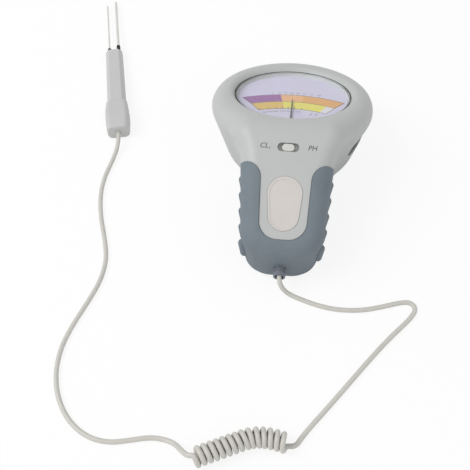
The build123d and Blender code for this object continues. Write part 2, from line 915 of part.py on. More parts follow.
with BuildPart() as trimmers:
    trimmer_spots = [(side * trimmer_spacing / 2, -trimmer_drop) for side in (-1, 1)]
    with BuildSketch(front_plane(board_depth)):
        with Locations(*trimmer_spots):
            Rectangle(trimmer_side, trimmer_side)
    extrude(amount=trimmer_height)
    with BuildSketch(front_plane(board_depth - trimmer_height)):
        with Locations(*trimmer_spots):
            Circle(trimmer_dial_radius)
            Rectangle(2 * trimmer_dial_radius, trimmer_slot_width, mode=Mode.SUBTRACT)
    extrude(amount=-trimmer_dial_sink, mode=Mode.SUBTRACT)
trimmers.part.label = "trimmers"
export_step(trimmers.part, "parts/trimmers.step")

resistor_axis_depth = board_depth - resistor_lift - resistor_diameter / 2
with BuildPart() as resistors:
    for drop in resistor_drops:
        body_end = front_spot(-resistor_length / 2, drop, resistor_axis_depth)
        with BuildSketch(Plane(origin=body_end.origin, x_dir=front_out, z_dir=(1, 0, 0))):
            Circle(resistor_diameter / 2)
        extrude(amount=resistor_length)
        with BuildLine():
            lead = Polyline(
                front_spot(-resistor_span / 2, drop, board_low).origin,
                front_spot(-resistor_span / 2, drop, resistor_axis_depth).origin,
                front_spot(resistor_span / 2, drop, resistor_axis_depth).origin,
                front_spot(resistor_span / 2, drop, board_low).origin,
            )
        with BuildSketch(Plane(origin=lead @ 0, z_dir=lead % 0)):
            Circle(wire_diameter / 2)
        sweep(path=lead, transition=Transition.RIGHT)
resistors.part.label = "resistors"
export_step(resistors.part, "parts/resistors.step")

# Slide switch: a metal can on the board, the slider in it and the knob over the slider
with BuildPart() as switch_case:
    with BuildSketch(front_spot(0, switch_drop, board_depth)):
        Rectangle(switch_case_length, switch_case_width)
    extrude(amount=board_depth - case_high)
    with BuildSketch(front_spot(0, switch_drop, board_depth)):
        Rectangle(
            switch_case_length - 2 * switch_case_wall,
            switch_case_width - 2 * switch_case_wall,
        )
    extrude(amount=board_depth - case_high - switch_case_wall, mode=Mode.SUBTRACT)
    with BuildSketch(front_spot(0, switch_drop, board_depth)):
        Rectangle(stem_length + 2 * (knob_travel + knob_gap), stem_width + 2 * knob_gap)
    extrude(amount=board_depth - case_high, mode=Mode.SUBTRACT)
switch_case.part.label = "switch_case"
export_step(switch_case.part, "parts/switch_case.step")

with BuildPart() as switch_terminals:
    with BuildSketch(front_plane(board_depth - terminal_rise)):
        with Locations(*terminal_spots):
            Circle(terminal_diameter / 2)
    extrude(amount=-terminal_length)
switch_terminals.part.label = "switch_terminals"
export_step(switch_terminals.part, "parts/switch_terminals.step")

slider_low = slider_high + slider_height
stem_rise = slider_low - apron_low + stem_socket
with BuildPart() as switch_slider:
    with BuildSketch(front_spot(0, switch_drop, slider_low)):
        Rectangle(slider_length, slider_width)
    extrude(amount=slider_height)
    with BuildSketch(front_spot(0, switch_drop, slider_low)):
        Rectangle(stem_length, stem_width)
    extrude(amount=stem_rise)
switch_slider.part.label = "switch_slider"
export_step(switch_slider.part, "parts/switch_slider.step")

with BuildPart() as switch_knob:
    with BuildSketch(front_spot(0, switch_drop, apron_low)):
        SlotOverall(knob_length, slot_width - 2 * knob_gap)
    extrude(amount=apron_low - knob_recess)
    fillet(switch_knob.faces().sort_by(front_axis)[-1].edges(), knob_round)
    with BuildSketch(front_spot(0, switch_drop, apron_low)):
        Rectangle(slot_length + 2 * (knob_travel + apron_lap), slot_width + 2 * apron_side_lap)
    extrude(amount=apron_thickness)
    with BuildSketch(front_spot(0, switch_drop, apron_low)):
        Rectangle(stem_length + 2 * press_gap, stem_width + 2 * press_gap)
    extrude(amount=stem_socket + press_gap, mode=Mode.SUBTRACT)
switch_knob.part.label = "switch_knob"
export_step(switch_knob.part, "parts/switch_knob.step")

# Oval label with a raised rim
label_top = label_recess - label_thickness
with BuildPart() as label_plate:
    add(oval(-label_gap, label_recess))
    extrude(amount=label_thickness)
    fillet(label_plate.faces().sort_by(front_axis)[-1].edges(), label_round)
    add(oval(-label_gap - label_rim, label_top + label_sink))
    extrude(amount=label_sink + seat_gap, mode=Mode.SUBTRACT)
label_plate.part.label = "label_plate"
export_step(label_plate.part, "parts/label_plate.step")

# Liner of the side pocket
with BuildPart() as pocket_liner:
    with BuildSketch(Plane.YZ.offset(pocket_floor_x - pocket_wall)):
        with Locations((pocket_y, pocket_z)):
            RectangleRounded(
                pocket_length + 2 * pocket_wall,
                pocket_height + 2 * pocket_wall,
                pocket_corner + pocket_wall,
            )
    extrude(amount=head_radius)
    with BuildSketch(Plane.YZ.offset(pocket_floor_x)):
        with Locations((pocket_y, pocket_z)):
            RectangleRounded(pocket_length, pocket_height, pocket_corner)
    extrude(amount=head_radius, mode=Mode.SUBTRACT)
    add(inlay_form, mode=Mode.INTERSECT)
pocket_liner.part.label = "pocket_liner"
export_step(pocket_liner.part, "parts/pocket_liner.step")

# Screws that hold the shells together, driven from the back
with BuildPart() as housing_screws:
    with BuildSketch(Plane.XY.offset(screw_head_depth)):
        with Locations(*screw_spots):
            Circle(screw_head_diameter / 2)
    extrude(amount=screw_head_height)
    with BuildSketch(Plane.XY.offset(screw_seat_z)):
        with Locations(*screw_spots):
            Circle(screw_diameter / 2)
    extrude(amount=screw_length)
    with BuildSketch(Plane.XY.offset(screw_head_depth)):
        with Locations(*screw_spots):
            Rectangle(screw_slot_length, screw_slot_width)
            Rectangle(screw_slot_width, screw_slot_length)
    extrude(amount=screw_slot_depth, mode=Mode.SUBTRACT)
housing_screws.part.label = "housing_screws"
export_step(housing_screws.part, "parts/housing_screws.step")

# Cord gland, turned about the cord
flange_z = gland_z - gland_flange_diameter / 2
flange_y = grow(tail_y, -tail_draft, flange_z) + wall + seat_gap
gland_axis = Axis((0, 0, gland_z), (0, 1, 0))
with BuildPart() as cord_gland:
    with BuildSketch(Plane.XY.offset(gland_z)):
        with BuildLine():
            Polyline(
                (0, flange_y + gland_flange),
                (gland_flange_diameter / 2, flange_y + gland_flange),
                (gland_flange_diameter / 2, flange_y),
                (gland_diameter / 2, flange_y),
                (gland_diameter / 2, gland_end_y),
                (gland_mouth_diameter / 2, gland_end_y),
                (gland_mouth_diameter / 2, gland_end_y + gland_mouth),
                (0, gland_end_y + gland_mouth),
                close=True,
            )
        make_face()
        with Locations((gland_diameter / 2, gland_end_y + 2 * gland_groove_pitch)):
            with GridLocations(0, gland_groove_pitch, 1, 2):
                Rectangle(2 * gland_groove, gland_groove_width, mode=Mode.SUBTRACT)
    revolve(axis=gland_axis)
cord_gland.part.label = "cord_gland"
export_step(cord_gland.part, "parts/cord_gland.step")

# Two wires from the gland to the board
with BuildPart() as lead_wires:
    for side in (-1, 1):
        land_x = side * lead_land_spacing / 2
        landing = front_spot(land_x, lead_land_drop, board_low).origin
        approach = front_spot(land_x, lead_land_drop, board_low + lead_drop).origin
        start = Vector(side * lead_spacing / 2, flange_y + gland_flange, gland_z)
        with BuildLine():
            wire = FilletPolyline(
                start, start + Vector(0, lead_drop, 0), approach, landing, radius=lead_bend
            )
        with BuildSketch(Plane(origin=wire @ 0, z_dir=wire % 0)):
            Circle(lead_diameter / 2)
        sweep(path=wire)
lead_wires.part.label = "lead_wires"
export_step(lead_wires.part, "parts/lead_wires.step")

# Probe, lying on its collar and on the front edge of its body
probe_turn = radians(probe_heading)
probe_front = collar_length + body_length
probe_dip = atan2((collar_middle_height - body_height) / 2, probe_front - collar_length / 2)
probe_along = Vector(
    -sin(probe_turn) * cos(probe_dip), cos(probe_turn) * cos(probe_dip), -sin(probe_dip)
)
probe_across = Vector(cos(probe_turn), sin(probe_turn), 0)
probe_z = (
    collar_middle_height / 2 * cos(probe_dip) + collar_length / 2 * sin(probe_dip) + floor_clear
)


def probe_plane(distance):
    """Plane across the probe, at a distance from the rear face of its collar."""
    origin = Vector(probe_x, probe_y, probe_z) + probe_along * distance
    return Plane(origin=origin, x_dir=probe_across, z_dir=probe_along)


probe_axis = Axis(probe_plane(0).origin, probe_along)
spigot_width = body_rear_width - 2 * spigot_shoulder
spigot_height = body_height - 2 * spigot_shoulder
pins = (
    (-pin_spacing / 2, thin_pin_diameter / 2, thin_pin_length, thin_seal_beads),
    (pin_spacing / 2, thick_pin_diameter / 2, thick_pin_length, thick_seal_beads),
)

with BuildPart() as probe_collar:
    for distance, width, height in (
        (0, collar_rear_width, collar_rear_height),
        (collar_length / 2, collar_middle_width, collar_middle_height),
        (collar_length, collar_front_width, collar_front_height),
    ):
        with BuildSketch(probe_plane(distance)):
            RectangleRounded(width, height, collar_corner)
    loft()
    fillet(probe_collar.faces().sort_by(probe_axis)[0].edges(), collar_round)
    with BuildSketch(probe_plane(0)):
        Circle(cord_diameter / 2 + seat_gap)
    extrude(amount=cord_socket, mode=Mode.SUBTRACT)
    with BuildSketch(probe_plane(collar_length - spigot_length)):
        Rectangle(spigot_width + 2 * spigot_gap, spigot_height + 2 * spigot_gap)
    extrude(amount=spigot_length, mode=Mode.SUBTRACT)
probe_collar.part.label = "probe_collar"
export_step(probe_collar.part, "parts/probe_collar.step")

with BuildPart() as probe_body:
    for distance, width in ((collar_length, body_rear_width), (probe_front, body_front_width)):
        with BuildSketch(probe_plane(distance)) as section:
            Rectangle(width, body_height)
            chamfer(section.vertices(), body_chamfer)
    loft()
    fillet(probe_body.faces().sort_by(probe_axis)[-1].edges(), body_round)
    with BuildSketch(probe_plane(collar_length - spigot_length)):
        Rectangle(spigot_width, spigot_height)
    extrude(amount=spigot_length)
    with BuildSketch(probe_plane(probe_front - pin_socket)):
        for pin_x, pin_radius, pin_length, beads in pins:
            with Locations((pin_x, 0)):
                Circle(pin_radius + press_gap)
    extrude(amount=pin_socket, mode=Mode.SUBTRACT)
probe_body.part.label = "probe_body"
export_step(probe_body.part, "parts/probe_body.step")


def electrode(pin_x, pin_radius, pin_length):
    """Round metal pin with a domed tip, from the bottom of its socket."""
    with BuildPart() as rod:
        with BuildSketch(probe_plane(probe_front - pin_socket)):
            with Locations((pin_x, 0)):
                Circle(pin_radius)
        extrude(amount=pin_socket + pin_length - pin_radius)
        tip = probe_plane(probe_front + pin_length - pin_radius)
        with Locations(tip.from_local_coords((pin_x, 0, 0))):
            Sphere(pin_radius)
    return rod.part


with BuildPart() as electrode_left:
    add(electrode(*pins[0][:3]))
electrode_left.part.label = "electrode_left"
export_step(electrode_left.part, "parts/electrode_left.step")

with BuildPart() as electrode_right:
    add(electrode(*pins[1][:3]))
electrode_right.part.label = "electrode_right"
export_step(electrode_right.part, "parts/electrode_right.step")

with BuildPart() as electrode_seals:
    for pin_x, pin_radius, pin_length, beads in pins:
        last_bead = seal_bead_radius + (beads - 1) * seal_bead_pitch
        with BuildSketch(probe_plane(probe_front)):
            with Locations((pin_x, 0)):
                Circle(pin_radius + seal_sleeve)
        extrude(amount=last_bead)
        for bead in range(beads):
            place = probe_plane(probe_front + seal_bead_radius + bead * seal_bead_pitch)
            with Locations(place.from_local_coords((pin_x, 0, 0))):
                Sphere(seal_bead_radius)
        with BuildSketch(probe_plane(probe_front)):
            with Locations((pin_x, 0)):
                Circle(pin_radius + press_gap)
        extrude(amount=last_bead + 2 * seal_bead_radius, mode=Mode.SUBTRACT)
electrode_seals.part.label = "electrode_seals"
export_step(electrode_seals.part, "parts/electrode_seals.step")

# Cord: two smooth leads and the curly section between them
floor_z = cord_diameter / 2 + floor_clear
curl_z = curl_diameter / 2 + floor_clear
cord_out = probe_plane(cord_engagement).origin
cord_behind = probe_plane(-cord_straight).origin

meter_route = [
    (0, gland_end_y + gland_mouth, gland_z),
    (0, -76.9, gland_z),
    (1.0, -79.2, 9.8),
    (3.4, -80.4, 5.8),
    (7.4, -81.2, 2.8),
    (13.4, -82.6, floor_z),
    (21.5, -85.2, floor_z),
    (32.0, -86.9, floor_z),
    (44.5, -86.2, floor_z),
    (56.0, -82.9, floor_z),
    (65.0, -79.6, floor_z),
    (71.0, -78.8, floor_z),
    (73.8, -82.8, floor_z),
    (70.8, -88.2, floor_z),
    (65.4, -94.4, floor_z),
    (57.6, -103.2, floor_z),
    (48.0, -115.6, floor_z),
    (37.8, -129.4, floor_z),
    (28.4, -142.0, floor_z),
    (21.6, -150.8, floor_z),
    (17.0, -157.2, floor_z),
    (14.2, -162.2, floor_z),
    (9.3, -163.2, floor_z),
]
curl_route = [
    (-33.4, -173.2, curl_z),
    (-18.0, -165.8, curl_z),
    (-2.8, -158.8, curl_z),
    (9.6, -162.2, curl_z),
]
probe_route = [
    (-33.4, -173.2, 9.0),
    (-36.4, -173.4, 8.4),
    (-39.8, -170.6, 6.2),
    (-43.6, -166.8, 3.2),
    (-48.8, -164.6, floor_z),
    (-56.6, -164.2, floor_z),
    (-66.0, -166.6, floor_z),
    (-76.6, -168.8, floor_z),
    (-87.6, -166.8, floor_z),
    (-98.0, -159.8, floor_z),
    (-106.0, -148.6, floor_z),
    (-110.2, -135.2, floor_z),
    (-110.4, -121.4, floor_z),
    (-107.0, -107.8, floor_z),
    (-102.0, -94.4, floor_z),
    (-97.6, -80.6, floor_z),
    (-96.8, -66.6, floor_z),
    (-100.6, -53.2, floor_z),
    (-105.4, -39.8, floor_z),
    (-108.8, -25.8, floor_z),
    (-109.6, -11.8, floor_z),
    (-107.4, 0.6, floor_z),
    (-105.2, 10.0, 3.0),
    cord_behind,
    cord_out,
]


def bend_radii(route):
    """Radius at each inner point, as large as the shorter run beside it allows."""
    points = [Vector(*point) for point in route]
    radii = []
    for before, here, after in zip(points, points[1:], points[2:]):
        into = here - before
        out = after - here
        turn = radians(into.get_angle(out))
        radii.append(0.45 * min(into.length, out.length) / tan(turn / 2))
    return radii


def tube(route, diameter):
    """Round tube along a route with rounded corners."""
    with BuildPart() as hose:
        with BuildLine():
            path = FilletPolyline(*route, radius=bend_radii(route))
        with BuildSketch(Plane(origin=path @ 0, z_dir=path % 0)):
            Circle(diameter / 2)
        sweep(path=path)
    return hose.part


with BuildPart() as cord_lead_meter:
    add(tube(meter_route, cord_diameter))
cord_lead_meter.part.label = "cord_lead_meter"
export_step(cord_lead_meter.part, "parts/cord_lead_meter.step")

with BuildPart() as cord_coil:
    add(tube(curl_route, curl_diameter))
cord_coil.part.label = "cord_coil"
export_step(cord_coil.part, "parts/cord_coil.step")

with BuildPart() as cord_lead_probe:
    add(tube(probe_route, cord_diameter))
cord_lead_probe.part.label = "cord_lead_probe"
export_step(cord_lead_probe.part, "parts/cord_lead_probe.step")

for name, route in (("meter", meter_route), ("curl", curl_route), ("probe", probe_route)):
    print(name, "bend radii", [round(radius, 1) for radius in bend_radii(route)])
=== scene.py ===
"""Chlorine and pH tester: the look of the handheld meter, its printed dial and its curly cord.

Metres, in the frame of the CAD model: the tester lies on its back on z = 0, x = 0 is its
plane of symmetry, the head with the dial is toward +Y and the tail with the cord toward -Y.
"""

import json
from math import cos, pi, radians, sin

import bmesh
import bpy
from mathutils import Matrix, Vector


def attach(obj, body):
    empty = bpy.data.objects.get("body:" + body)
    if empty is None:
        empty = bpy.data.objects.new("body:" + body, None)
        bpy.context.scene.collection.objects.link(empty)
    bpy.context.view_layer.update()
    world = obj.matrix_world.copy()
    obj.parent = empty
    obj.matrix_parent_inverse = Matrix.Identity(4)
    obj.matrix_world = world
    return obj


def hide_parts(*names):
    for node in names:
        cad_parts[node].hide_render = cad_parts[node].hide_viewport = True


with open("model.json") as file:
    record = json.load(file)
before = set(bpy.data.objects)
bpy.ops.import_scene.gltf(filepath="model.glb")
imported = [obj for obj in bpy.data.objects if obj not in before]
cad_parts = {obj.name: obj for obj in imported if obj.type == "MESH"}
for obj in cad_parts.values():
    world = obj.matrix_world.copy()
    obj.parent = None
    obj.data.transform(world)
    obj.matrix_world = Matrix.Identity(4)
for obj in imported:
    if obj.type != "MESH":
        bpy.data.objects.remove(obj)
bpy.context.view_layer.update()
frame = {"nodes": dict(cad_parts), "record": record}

MM = 0.001  # the tester's and the cord's sizes are written in millimetres
scene = bpy.context.scene
scene.view_settings.view_transform = "Standard"


def mm(*values):
    """A vector given in millimetres."""
    return Vector(values) * MM


def add_object(name, data):
    """A new object in the scene."""
    made = bpy.data.objects.new(name, data)
    scene.collection.objects.link(made)
    return made


# Camera at the photograph's angle

frame_pixels = 470
focal_pixels = 750
film_width = 36.0
near_clip = 0.01  # metres
camera_place = mm(3.67, -274.55, 359.18)
camera_yaw = radians(7.564)
camera_pitch = radians(57.0)
camera_roll = radians(-2.22)

ahead = Vector(
    (
        -sin(camera_yaw) * cos(camera_pitch),
        cos(camera_yaw) * cos(camera_pitch),
        -sin(camera_pitch),
    )
)
level = Vector((cos(camera_yaw), sin(camera_yaw), 0))
upright = level.cross(ahead)
camera_right = level * cos(camera_roll) + upright * sin(camera_roll)
camera_up = upright * cos(camera_roll) - level * sin(camera_roll)

camera_data = bpy.data.cameras.new("camera")
camera_data.sensor_width = film_width
camera_data.lens = focal_pixels / frame_pixels * film_width
camera_data.clip_start = near_clip
camera = add_object("camera", camera_data)
camera_turn = Matrix((camera_right, camera_up, -ahead)).transposed()
camera.matrix_world = Matrix.Translation(camera_place) @ camera_turn.to_4x4()
scene.camera = camera


# Cord: one spline from the gland, through the curly section, to the probe

cord_diameter = 2.6
floor_z = 1.35
curl_z = 5.25
curl_turns = 14.5
curl_radius = 3.8
points_per_turn = 12

meter_route = [
    (0, -74.5, 12.0),
    (0, -76.9, 12.0),
    (1.0, -79.2, 9.8),
    (3.4, -80.4, 5.8),
    (7.4, -81.2, 2.8),
    (13.4, -82.6, floor_z),
    (21.5, -85.2, floor_z),
    (32.0, -86.9, floor_z),
    (44.5, -86.2, floor_z),
    (56.0, -82.9, floor_z),
    (65.0, -79.6, floor_z),
    (71.0, -78.8, floor_z),
    (73.8, -82.8, floor_z),
    (70.8, -88.2, floor_z),
    (65.4, -94.4, floor_z),
    (57.6, -103.2, floor_z),
    (48.0, -115.6, floor_z),
    (37.8, -129.4, floor_z),
    (28.4, -142.0, floor_z),
    (21.6, -150.8, floor_z),
    (17.0, -157.2, floor_z),
    (14.2, -162.2, floor_z),
]
curl_route = [
    (-33.4, -173.2, curl_z),
    (-18.0, -165.8, curl_z),
    (-2.8, -158.8, curl_z),
    (9.6, -162.2, curl_z),
]
probe_route = [
    (-36.4, -173.4, 8.4),
    (-39.8, -170.6, 6.2),
    (-43.6, -166.8, 3.2),
    (-48.8, -164.6, floor_z),
    (-56.6, -164.2, floor_z),
    (-66.0, -166.6, floor_z),
    (-76.6, -168.8, floor_z),
    (-87.6, -166.8, floor_z),
    (-98.0, -159.8, floor_z),
    (-106.0, -148.6, floor_z),
    (-110.2, -135.2, floor_z),
    (-110.4, -121.4, floor_z),
    (-107.0, -107.8, floor_z),
    (-102.0, -94.4, floor_z),
    (-97.6, -80.6, floor_z),
    (-96.8, -66.6, floor_z),
    (-100.6, -53.2, floor_z),
    (-105.4, -39.8, floor_z),
    (-108.8, -25.8, floor_z),
    (-109.6, -11.8, floor_z),
    (-107.4, 0.6, floor_z),
    (-105.2, 10.0, 3.0),
    (-105.0005, 18.1037, 5.9482),
    (-106.2373, 23.4611, 5.8107),
]


def smooth_curve(name, points, thickness=0.0):
    """A smooth curve with those control points, in metres, and as thick as a round cord."""
    data = bpy.data.curves.new(name, "CURVE")
    data.dimensions = "3D"
    spline = data.splines.new("NURBS")
    spline.points.add(len(points) - 1)
    for control, point in zip(spline.points, points):
        control.co = (*point, 1)
    spline.order_u = 3
    spline.use_endpoint_u = True
    spline.resolution_u = 6
    data.bevel_depth = thickness / 2
    data.bevel_resolution = 4
    data.use_fill_caps = thickness > 0
    return add_object(name, data)


def line_of(points):
    """The points that a smooth curve with those control points passes through."""
    guide = smooth_curve("guide", points)
    bpy.context.view_layer.update()
    mesh = bpy.data.meshes.new_from_object(guide)
    line = [vertex.co.copy() for vertex in mesh.vertices]
    bpy.data.objects.remove(guide)
    bpy.data.meshes.remove(mesh)
    return line


def place_on(line, share):
    """Point and direction at a share of a line's length."""
    lengths = [(b - a).length for a, b in zip(line, line[1:])]
    left = share * sum(lengths)
    for start, end, length in zip(line, line[1:], lengths):
        if left <= length or end is line[-1]:
            return start.lerp(end, min(left / length, 1)), (end - start).normalized()
        left -= length


def curl_points():
    """Control points of the turns of the curly section, from its left end to its right.

    They lie a little outside curl_radius, because the spline cuts inside its control points.
    """
    line = line_of([mm(*point) for point in curl_route])
    steps = int(curl_turns * points_per_turn)
    radius = curl_radius * MM / cos(pi / points_per_turn) ** 2
    points = []
    for step in range(steps + 1):
        centre, along = place_on(line, step / steps)
        side = along.cross(Vector((0, 0, 1))).normalized()
        angle = 2 * pi * step / points_per_turn
        rise = Vector((0, 0, cos(angle) * radius))
        points.append(centre + rise + side * sin(angle) * radius)
    return points


cord_points = [mm(*point) for point in meter_route]
cord_points += reversed(curl_points())
cord_points += [mm(*point) for point in probe_route]
cord = smooth_curve("curly_cord", cord_points, cord_diameter * MM)
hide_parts("cord_lead_meter", "cord_coil", "cord_lead_probe")
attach(cord, "tester")


# Materials

noise_low = 0.3
noise_high = 0.7
rough_swing = 0.05
grain_strength = 0.6
clear_tint = (0.97, 0.98, 0.99, 1)
clear_ior = 1.45
haze_scale = 160.0
haze_rough = 0.04


def linear(*channels):
    """Scene colour of a colour given as 0 to 255."""
    values = [c / 255 for c in channels]
    return [v / 12.92 if v <= 0.04045 else ((v + 0.055) / 1.055) ** 2.4 for v in values]


def new_material(name):
    """A material with nodes, and its node tree."""
    made = bpy.data.materials.new(name)
    made.use_nodes = True
    return made, made.node_tree


def node_of(tree, kind, **inputs):
    """A new node with its inputs set by name, underscores for spaces."""
    node = tree.nodes.new(kind)
    for name, value in inputs.items():
        socket = node.inputs[name.replace("_", " ")]
        if isinstance(value, bpy.types.NodeSocket):
            tree.links.new(value, socket)
        else:
            socket.default_value = value
    return node


def noise(tree, where, scale, **inputs):
    """The value of a noise texture."""
    return node_of(tree, "ShaderNodeTexNoise", Vector=where, Scale=scale, **inputs).outputs[0]


def spread(tree, value, low, high):
    """A noise value, which is mostly from noise_low to noise_high, spread from low to high."""
    ranged = node_of(tree, "ShaderNodeMapRange", Value=value)
    ranged.inputs["From Min"].default_value = noise_low
    ranged.inputs["From Max"].default_value = noise_high
    ranged.inputs["To Min"].default_value = low
    ranged.inputs["To Max"].default_value = high
    return ranged.outputs["Result"]


def show_mix(tree, factor, first, second):
    """Show the first shader where the factor is 0 and the second where it is 1."""
    mixed = node_of(tree, "ShaderNodeMixShader", Fac=factor)
    tree.links.new(first.outputs[0], mixed.inputs[1])
    tree.links.new(second.outputs[0], mixed.inputs[2])
    tree.links.new(mixed.outputs[0], tree.nodes["Material Output"].inputs["Surface"])


def moulded(
    name, colour, rough, shade=0.05, patch=0.02, grain=0.00035, depth=0.00001,
    metal=0.0, stretch=(1, 1, 1), gloss=0.5,
):
    """A material with patches of slightly other shade and a fine surface grain.

    patch and grain are their sizes in metres, depth is the height of the grain.
    """
    made, tree = new_material(name)
    shader = tree.nodes["Principled BSDF"]
    where = tree.nodes.new("ShaderNodeTexCoord").outputs["Object"]
    stretched = node_of(tree, "ShaderNodeMapping", Vector=where, Scale=stretch).outputs[0]
    cloud = noise(tree, stretched, 1 / patch, Detail=4.0, Roughness=0.6)
    fine = noise(tree, stretched, 1 / grain, Detail=2.0, Roughness=0.5)
    tint = tree.nodes.new("ShaderNodeMix")
    tint.data_type = "RGBA"
    tree.links.new(spread(tree, cloud, 0.0, 1.0), tint.inputs["Factor"])
    base = linear(*colour)
    tint.inputs[6].default_value = (*[c * (1 - shade) for c in base], 1)
    tint.inputs[7].default_value = (*[min(c * (1 + shade), 1) for c in base], 1)
    tree.links.new(tint.outputs[2], shader.inputs["Base Color"])
    roughness = spread(tree, fine, rough - rough_swing, rough + rough_swing)
    tree.links.new(roughness, shader.inputs["Roughness"])
    bump = node_of(
        tree, "ShaderNodeBump", Height=fine, Strength=grain_strength, Distance=depth
    )
    tree.links.new(bump.outputs[0], shader.inputs["Normal"])
    shader.inputs["Metallic"].default_value = metal
    shader.inputs["Specular IOR Level"].default_value = gloss
    return made


def clear_window(name):
    """Clear plastic that lamps reach through."""
    made, tree = new_material(name)
    shader = tree.nodes["Principled BSDF"]
    where = tree.nodes.new("ShaderNodeTexCoord").outputs["Object"]
    haze = noise(tree, where, haze_scale, Detail=3.0)
    tree.links.new(spread(tree, haze, 0.0, haze_rough), shader.inputs["Roughness"])
    shader.inputs["Base Color"].default_value = clear_tint
    shader.inputs["Transmission Weight"].default_value = 1.0
    shader.inputs["IOR"].default_value = clear_ior
    ray = tree.nodes.new("ShaderNodeLightPath").outputs["Is Shadow Ray"]
    through = node_of(tree, "ShaderNodeBsdfTransparent", Color=clear_tint)
    show_mix(tree, ray, shader, through)
    return made


materials = {
    "shell_grey": moulded("shell_grey", (188, 190, 189), 0.46, shade=0.025, patch=0.03),
    "grip_rubber": moulded(
        "grip_rubber", (116, 126, 134), 0.62, grain=0.0004, depth=0.00003, gloss=0.35
    ),
    "clear_lens": clear_window("clear_lens"),
    "dial_print": moulded("dial_print", (214, 209, 230), 0.5, shade=0.02, patch=0.015),
    "needle_black": moulded("needle_black", (40, 38, 42), 0.45, patch=0.003),
    "steel": moulded(
        "steel", (176, 178, 180), 0.3, metal=1.0, patch=0.002, grain=0.0001, depth=0.000002
    ),
    "copper": moulded("copper", (186, 110, 66), 0.35, metal=1.0, patch=0.001, grain=0.0001),
    "magnet": moulded("magnet", (104, 104, 108), 0.5, metal=0.6, patch=0.003),
    "brass": moulded("brass", (200, 166, 92), 0.32, metal=1.0, patch=0.002, grain=0.0001),
    "frame_plastic": moulded("frame_plastic", (52, 52, 54), 0.5),
    "board": moulded("board", (38, 92, 52), 0.4, shade=0.12, patch=0.003, grain=0.0005),
    "component": moulded("component", (92, 116, 168), 0.35, patch=0.002),
    "knob_grey": moulded("knob_grey", (208, 208, 205), 0.4, patch=0.003),
    "label": moulded("label", (208, 203, 198), 0.5, shade=0.02, patch=0.012),
    "liner_black": moulded("liner_black", (26, 26, 27), 0.42, shade=0.1, patch=0.006),
    "gland": moulded("gland", (118, 123, 134), 0.5, patch=0.003),
    "cord": moulded("cord", (203, 201, 194), 0.38, shade=0.035, patch=0.008, grain=0.0005),
    "wire": moulded("wire", (172, 44, 38), 0.4, patch=0.003),
    "probe_grey": moulded("probe_grey", (196, 197, 196), 0.44, shade=0.025),
    "electrode": moulded(
        "electrode", (236, 236, 232), 0.4, metal=0.6, shade=0.06, patch=0.004,
        grain=0.0002, depth=0.000002, stretch=(3, 0.3, 3),
    ),
    "seal": moulded("seal", (30, 29, 30), 0.5, shade=0.1, patch=0.002),
}


def finish_with(piece, slot_name):
    """Give a piece the material of a slot."""
    piece.data.materials.clear()
    piece.data.materials.append(materials[slot_name])


for part in frame["record"]["subparts"]:
    finish_with(frame["nodes"][part["node"]], part["material_slot"])
finish_with(cord, "cord")


# Places on the dial and on the front face, as in the CAD model

dial_tilt = radians(22.5)
front_slope = radians(24.0)
bezel_rise = 2.2
ridge_reach = 44.0
lens_center = mm(0, 31.0, 39.0)
across = Vector((1, 0, 0))
dial_out = Vector((0, sin(dial_tilt), cos(dial_tilt)))
dial_near = Vector((0, -cos(dial_tilt), sin(dial_tilt)))
front_out = Vector((0, -sin(front_slope), cos(front_slope)))
front_up = Vector((0, cos(front_slope), sin(front_slope)))
ridge_point = lens_center + dial_out * bezel_rise * MM + dial_near * ridge_reach * MM
plate_height = -3.4
print_thickness = 0.05
print_sink = 0.02


def dial_spot(x, near, height=plate_height):
    """Point of the dial: across it, from its centre to the tail, and over the lens face."""
    spot = lens_center + across * x * MM + dial_near * near * MM
    return spot + dial_out * height * MM


def front_spot(x, drop, height=0.0):
    """Point of the front face: across it, down it from the ridge, and over it."""
    return ridge_point + across * x * MM - front_up * drop * MM + front_out * height * MM


# Scale of the dial, in arcs round one centre. Ring 0 is the outermost, and each ring ends at
# its own angle, to both sides of the middle of the scale.

scale_x = 0.5
scale_near = 58.9
rings = (62.9, 53.6, 44.3)
ring_ends = (27.8, 26.2, 25.1)


def scale_place(angle, radius):
    """Place on the dial, across and toward the tail, at an angle from the scale's middle."""
    turn = radians(angle)
    return scale_x + radius * sin(turn), scale_near - radius * cos(turn)


def new_piece(name, body, built):
    """A mesh piece from a bmesh."""
    bmesh.ops.recalc_face_normals(built, faces=built.faces)
    mesh = bpy.data.meshes.new(name)
    built.to_mesh(mesh)
    built.free()
    made = add_object(name, mesh)
    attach(made, body)
    return made


def add_slab(built, outline, place, low, high):
    """A flat slab on an outline of (x, y) places, between two heights."""
    bottom = [built.verts.new(place(x, y, low)) for x, y in outline]
    top = [built.verts.new(place(x, y, high)) for x, y in outline]
    built.faces.new(bottom)
    built.faces.new(top)
    for a in range(len(outline)):
        b = (a + 1) % len(outline)
        built.faces.new((bottom[a], bottom[b], top[b], top[a]))


def band_outline(outer, inner, start, end, steps=24):
    """Outline of a band between two rings; start and end are shares of the scale, -1 to 1."""
    shares = [start + (end - start) * step / steps for step in range(steps + 1)]
    upper = [scale_place(s * ring_ends[outer], rings[outer]) for s in shares]
    lower = [scale_place(s * ring_ends[inner], rings[inner]) for s in shares]
    return upper + lower[::-1]


def print_piece(name, colour, outlines, lift=0.0):
    """Printed areas on the dial, in one colour. Lift is how far they stand over the bands."""
    built = bmesh.new()
    for outline in outlines:
        low = plate_height - print_sink
        high = plate_height + print_thickness + lift
        add_slab(built, outline, dial_spot, low, high)
    made = new_piece(name, "tester", built)
    made.data.materials.append(moulded(name, colour, 0.48, shade=0.03, patch=0.004))
    return made


